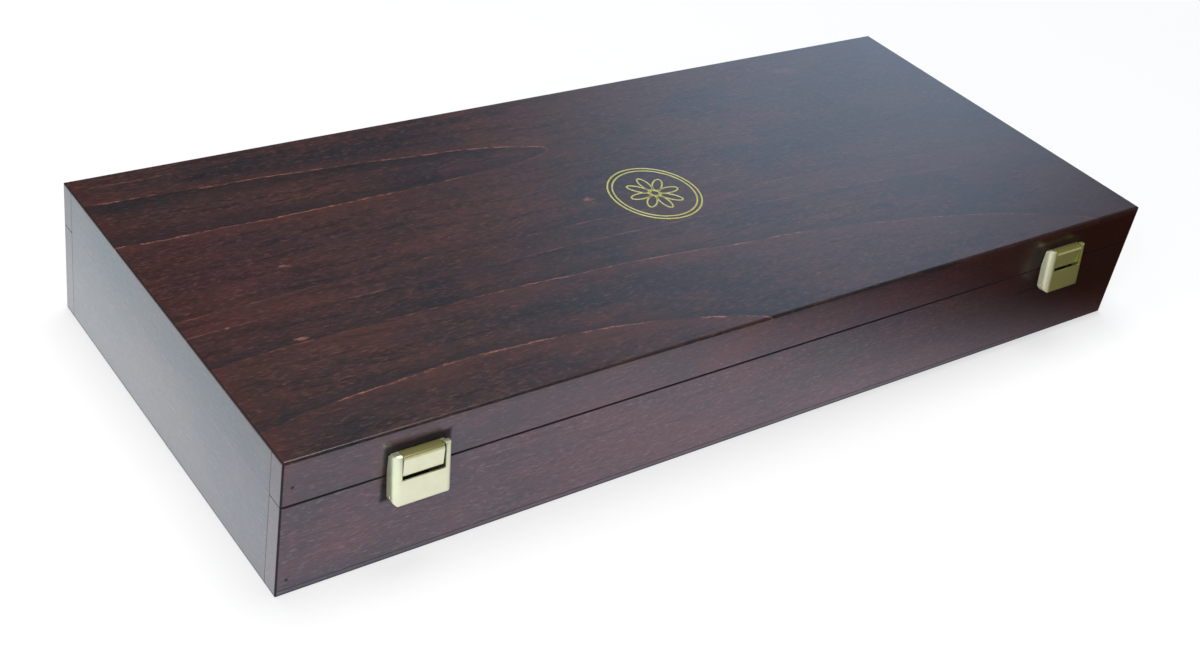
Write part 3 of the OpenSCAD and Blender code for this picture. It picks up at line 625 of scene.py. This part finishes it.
def brass_metal(name, tone, worn, rough):
    """Rolled brass with drawn lines, haze and small dull specks of oxide."""
    brass = Finish(name)
    mm = brass.place()
    haze = brass.noise(mm, 5, 3, 0.6)
    specks = brass.noise(mm, 0.7, 2, 0.6, seed=5)
    drawn = brass.scratches(mm, 0.12, 0.3, 2, seed=8)
    colour = brass.blend(haze.rise(0.35, 0.7) * 0.4, tone, worn)
    colour = brass.blend(specks.rise(0.62, 0.75) * 0.3, colour, rgb(150, 140, 84))
    return brass.skin(Base_Color=colour, Metallic=1,
                      Roughness=rough + haze * 0.1 + specks.rise(0.6, 0.8) * 0.12,
                      Normal=brass.bump(drawn * 0.6 + haze * 0.4, 0.00002, 0.4))


hinge_brass = brass_metal("hinge_brass", rgb(228, 212, 160), rgb(206, 186, 128), 0.26)
dress(hinge_brass, "hinge_base_leaf_left", "hinge_base_leaf_right", "hinge_base_screws",
      "hinge_lid_leaf_left", "hinge_lid_leaf_right", "hinge_lid_screws")
wire_steel = Finish("wire_steel")
drawn_wire = wire_steel.scratches(wire_steel.place(), 0.15, 0.4, 3)
wire_steel.skin(Base_Color=wire_steel.blend(drawn_wire, rgb(176, 178, 180), rgb(132, 134, 138)), Metallic=1,
                Roughness=0.28 + drawn_wire * 0.14, Normal=wire_steel.bump(drawn_wire, 0.00001, 0.5))
dress(wire_steel, "hinge_pin_left", "hinge_pin_right", "base_brads", "lid_brads")

# Snap latches.
# Each has a brass plate screwed to the base, a pressed cover that turns on a plated pin,
# a spring under it, and a keeper on the lid whose hook goes behind the cover's clip.
sheet_brass, hazy_brass = rgb(243, 249, 212), rgb(235, 241, 194)
shaded_right_brass, highlight_brass = rgb(222, 234, 130), rgb(252, 252, 222)
bend_brass, roof_brass, tarnish_and_slot_shade = rgb(204, 200, 136), rgb(116, 108, 54), rgb(26, 23, 12)
pillow_half_w, pillow_half_h = 13.4, 12


def pressed_brass(name, keeper=False):
    """Brass sheet pressed into a slight pillow, satin polished. The right latch is painted darker and
    yellower as shade, with a painted highlight down its left. On a keeper the roof is painted dark as shade,
    the bend as a lighter line, and the hooked tongue near black, tarnished and in the shade of its slot."""
    brass = Finish(name)
    mm = brass.place()
    x, y, z = brass.split(mm)
    haze = brass.noise(mm, 4, 3, 0.6)
    grain = brass.noise(mm, 0.35, 2, 0.6, seed=5)
    colour = brass.blend(haze.rise(0.35, 0.7) * 0.5, sheet_brass, hazy_brass)
    # Painted: the right latch darker and yellower, standing in for the dimmer light it gets.
    colour = brass.blend(x.rise(-100, 150) * 0.8, colour, shaded_right_brass)
    # Painted highlight: a pale, less metallic band down the left side of the right latch.
    painted_highlight = (x - latch_x).rise(-10.2, -12) * x.rise(0, 10)
    colour = brass.blend(painted_highlight * 0.8, colour, highlight_brass)
    pillow = ((abs(x) - latch_x) / pillow_half_w) ** 2 + ((z - latch_z) / pillow_half_h) ** 2
    metallic, rough = 0.78 - painted_highlight * 0.33, haze * 0.08 + 0.28
    if keeper:
        # Painted on a keeper: the roof dark as shade, the bend a lighter line, and the tongue near black,
        # tarnished and in the slot's shade.
        over_seam = z - seam_top
        tongue, bend, roof = over_seam.rise(1.9, 1.3), over_seam.rise(9.8, 10.6), over_seam.rise(11, 11.2)
        colour = brass.blend(bend * 0.7, colour, bend_brass)
        colour = brass.blend(roof * 0.85, colour, roof_brass)
        colour = brass.blend(tongue, colour, tarnish_and_slot_shade)
        metallic, rough = metallic - bend * 0.4 - tongue * 0.35, rough + tongue * 0.4
    return brass.skin(Base_Color=colour, Metallic=metallic, Roughness=rough,
                      Normal=brass.bump(pillow * -0.6 + haze * 0.03 + grain * 0.004, 0.001))


cover_brass = pressed_brass("cover_brass")
dress(cover_brass, "latch_flap_left", "latch_flap_right", "latch_pin_left", "latch_pin_right")
keeper_brass = pressed_brass("keeper_brass", keeper=True)
dress(keeper_brass, "latch_keeper_left", "latch_keeper_right")
# The plates and their screws are painted dark, as the shade behind the covers.
shaded_plate_brass = brass_metal("shaded_plate_brass", rgb(132, 122, 76), rgb(104, 96, 58), 0.4)
dress(shaded_plate_brass, "latch_plate_left", "latch_plate_right", "latch_plate_screws", "keeper_screws")
dress(wire_steel, "latch_spring_left", "latch_spring_right", "catch_clip_left", "catch_clip_right")

# Foil ornament in the middle of the lid.
# A double ring round a plain eight-petalled rosette, stamped in pale gold foil.
# The foil is far thinner than paper, and lies on the lacquer.
gold_foil = Finish("gold_foil")
worn_foil = gold_foil.noise(gold_foil.place(), 0.6, 3, 0.6)
gold_foil.skin(Base_Color=gold_foil.blend(worn_foil.rise(0.5, 0.7), rgb(208, 206, 130), rgb(150, 138, 84)),
               Metallic=0.25, Roughness=0.42, Normal=gold_foil.bump(worn_foil, 0.00001))
lid_face, foil_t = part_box("top_panel")[1][2], 0.00006
# Radii as shares of the rosette's own, and how wide a petal is for its length.
petal_size, petal_ring, inner_ring, eye_ring = 0.24, 0.36, 0.9, 0.1
petal_slimness = 0.42


def rosette(tree, inputs):
    """Rings and petals as flat lines of foil, laid round the middle."""
    def circle(radius, corners=96):
        return step(tree, "GeometryNodeCurvePrimitiveCircle", {"Resolution": corners, "Radius": radius})

    def share(of_the_radius):
        return step(tree, "ShaderNodeMath", {0: inputs["Radius"], 1: of_the_radius}, "MULTIPLY")

    petal = step(tree, "GeometryNodeTransform", {
        "Geometry": circle(share(petal_size), 40), "Scale": (1, petal_slimness, 1)})
    spots = step(tree, "GeometryNodeMeshCircle", {"Vertices": inputs["Petals"], "Radius": share(petal_ring)})
    index = step(tree, "GeometryNodeInputIndex")
    turn = step(tree, "ShaderNodeMath", {0: index, 1: inputs["Petals"]}, "DIVIDE")
    angle = step(tree, "ShaderNodeMath", {0: turn, 1: 2 * math.pi}, "MULTIPLY")
    spin = step(tree, "ShaderNodeCombineXYZ", {"Z": angle})
    placed = step(tree, "GeometryNodeInstanceOnPoints", {
        "Points": spots, "Instance": petal, "Rotation": spin})
    petals = step(tree, "GeometryNodeRealizeInstances", {"Geometry": placed})
    join = tree.nodes.new("GeometryNodeJoinGeometry")
    for curve in (circle(inputs["Radius"]), circle(share(inner_ring)), circle(share(eye_ring)), petals):
        tree.links.new(curve, join.inputs[0])
    section = step(tree, "GeometryNodeCurvePrimitiveQuadrilateral", {
        "Width": inputs["Line"], "Height": inputs["Foil"]})
    lines = step(tree, "GeometryNodeCurveToMesh", {"Curve": join.outputs[0], "Profile Curve": section})
    centre = step(tree, "ShaderNodeCombineXYZ", {
        "X": inputs["Middle X"], "Y": inputs["Middle Y"], "Z": inputs["Height"]})
    return step(tree, "GeometryNodeSetPosition", {"Geometry": lines, "Offset": centre})


ornament = grown("foil_ornament", rosette, {
    "Radius": 0.0235, "Petals": 8, "Line": 0.0009, "Foil": foil_t, "Middle X": 0.004, "Middle Y": 0.001,
    "Height": lid_face + foil_t / 2}, gold_foil)
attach(ornament, "lid")

# Table top, backdrop and light.
# A white sheet under the case, with painted shadow along the case's front foot and painted light beside it,
# and soft light from the left front.
# What the lacquer and the brass mirror is set apart from it as a painted reflection: pale near the table,
# darker near the front foot, dark to the right and overhead.
sheet_half_w, below_the_case = 6, 0.0002
front_mirrored, foot_mirrored = [0.98, 0.91, 1.03, 1], [0.3, 0.3, 0.36, 1]
left_mirrored, far_left_mirrored = [1.2, 1.29, 1.35, 1], [0.78, 0.9, 0.96, 1]
right_mirrored = [0.055, 0.022, 0.012, 1]
lit_left, lit_right = [0.72, 0.72, 0.73, 1], [0.14, 0.13, 0.12, 1]
paper_white, paper_shine, far_shine = [0.4, 0.4, 0.4, 1], 0.585, 0.4
left_shine, front_shine, foot_shade = 0.03, 0.045, 0.09


def seen_and_mirrored(finish):
    """Whether a ray comes from the camera, and whether it is a reflection."""
    rays = finish.node("ShaderNodeLightPath").socket.node.outputs
    return Wire(finish, rays["Is Camera Ray"]), Wire(finish, rays["Is Glossy Ray"])


def white_sheet():
    """The sheet as the camera sees it, as the case mirrors it and as it lights the case."""
    sheet = Finish("white_sheet")
    x, y, _ = sheet.split(sheet.place())
    seen, mirrored = seen_and_mirrored(sheet)
    past_left, past_right, in_front = -x - half_length, x - half_length, -y - half_depth
    # Painted reflection: what the case mirrors is darker to the right, darker close to its front as its
    # shadow, and pale and bluish past its left end.
    to_the_right = (x - (y + 135) * 1.6).rise(0, 250)
    left_foot = in_front.rise(103.5, 1.5) * x.rise(-300, -240)
    mirror_tone = sheet.blend(left_foot * 0.3, front_mirrored, foot_mirrored)
    mirror_tone = sheet.blend(to_the_right, mirror_tone, right_mirrored)
    left_tone = sheet.blend(past_left.rise(55, 6), far_left_mirrored, left_mirrored)
    beyond_left = past_left.rise(-8, 4) * (y.rise(-200, 60) * 0.45 + 0.55)
    mirror_tone = sheet.blend(beyond_left, mirror_tone, left_tone)
    away = ((x ** 2 + y ** 2) ** 0.5).rise(500, 2600) * far_shine
    # Painted light: the sheet a little brighter beside the left end and in front of the right half.
    beside = past_left.rise(-5, 6) * y.rise(-120, -20) * y.rise(400, 100) * left_shine
    beside = beside + x.rise(20, 220) * in_front.rise(1.5, 43.5) * front_shine
    # Painted shadow along the front foot of the case.
    foot = in_front.rise(4.5, 0) * y.rise(0, -100) * x.rise(-60, 200) * past_right.rise(1, -1) * foot_shade
    brightness = away + paper_shine + beside - foot
    own_shine = sheet.node("ShaderNodeEmission", values=[rgb(255, 255, 255), brightness])
    paper = sheet.node("ShaderNodeBsdfDiffuse", values=[paper_white])
    for_camera = sheet.node("ShaderNodeAddShader", values=[own_shine, paper])
    lighting = sheet.node("ShaderNodeBsdfDiffuse", values=[sheet.blend(to_the_right, lit_left, lit_right)])
    mirror_shine = sheet.node("ShaderNodeEmission", values=[mirror_tone, 1.0])
    for_case = sheet.node("ShaderNodeMixShader", values=[mirrored, lighting, mirror_shine])
    chosen = sheet.node("ShaderNodeMixShader", values=[seen, for_case, for_camera])
    sheet.node("ShaderNodeOutputMaterial", values=[chosen])
    return sheet


floor_shape = bmesh.new()
bmesh.ops.create_grid(floor_shape, x_segments=1, y_segments=1, size=sheet_half_w)
bmesh.ops.translate(floor_shape, verts=floor_shape.verts, vec=(0, 0, -below_the_case))
table = mesh_piece("table_sheet", floor_shape, white_sheet())

scene = bpy.context.scene
scene.world = bpy.data.worlds.new("studio")
overhead_dark, window_light = [0.045, 0.045, 0.05, 1], [0.80, 1.04, 1.38, 1]
room_light = [0.44, 0.45, 0.48, 1]


def studio_air():
    """A white backdrop for the camera, a soft grey room for the light, and for what the case mirrors a
    dark ceiling with one pale window, whose bounds are degrees round and degrees up."""
    air = Finish("air", scene.world)
    seen, mirrored = seen_and_mirrored(air)
    x, y, z = air.split(air.node("ShaderNodeTexCoord", out="Generated"))
    turn = air.node("ShaderNodeMath", {"operation": "ARCTAN2"}, [y, x]) * math.degrees(1)
    height = air.node("ShaderNodeMath", {"operation": "ARCSINE"}, [z]) * math.degrees(1)
    window = turn.rise(57, 44) * turn.rise(27.5, 36.5) * height.rise(39, 21)
    room = air.blend(mirrored, room_light, air.blend(window, overhead_dark, window_light))
    room = air.blend(seen, room, [1, 1, 1, 1])
    air.node("ShaderNodeOutputWorld", values=[air.node("ShaderNodeBackground", values=[room, 1])])


def lamp(name, spot, aim, size, power):
    """A round soft lamp of this width in metres and power in watts."""
    light = bpy.data.lights.new(name, "AREA")
    light.shape, light.size, light.energy = "DISK", size, power
    holder = bpy.data.objects.new(name, light)
    holder.location = spot
    holder.rotation_euler = (Vector(aim) - Vector(spot)).to_track_quat("-Z", "Y").to_euler()
    scene.collection.objects.link(holder)


studio_air()
lamp("left_front_softbox", (-1.1, -0.8, 0.9), (-0.1, 0, 0.03), 0.7, 12)
lamp("high_softbox", (0.1, 0.25, 2.0), (0, 0, 0.05), 1.1, 19)

# Camera.
# Its place, turn and lens were fitted to the seven corners of the case that the photo shows.
sensor_w, lens = 36, 49.62
eye_place, eye_turn = (-0.4776, -0.5170, 0.4637), (0.96762136, -0.15615292, -0.62216192)
camera = bpy.data.cameras.new("camera")
camera.sensor_width, camera.lens = sensor_w, lens
eye = bpy.data.objects.new("camera", camera)
eye.location, eye.rotation_euler = eye_place, eye_turn
scene.collection.objects.link(eye)
scene.camera = eye
scene.view_settings.view_transform = "Standard"
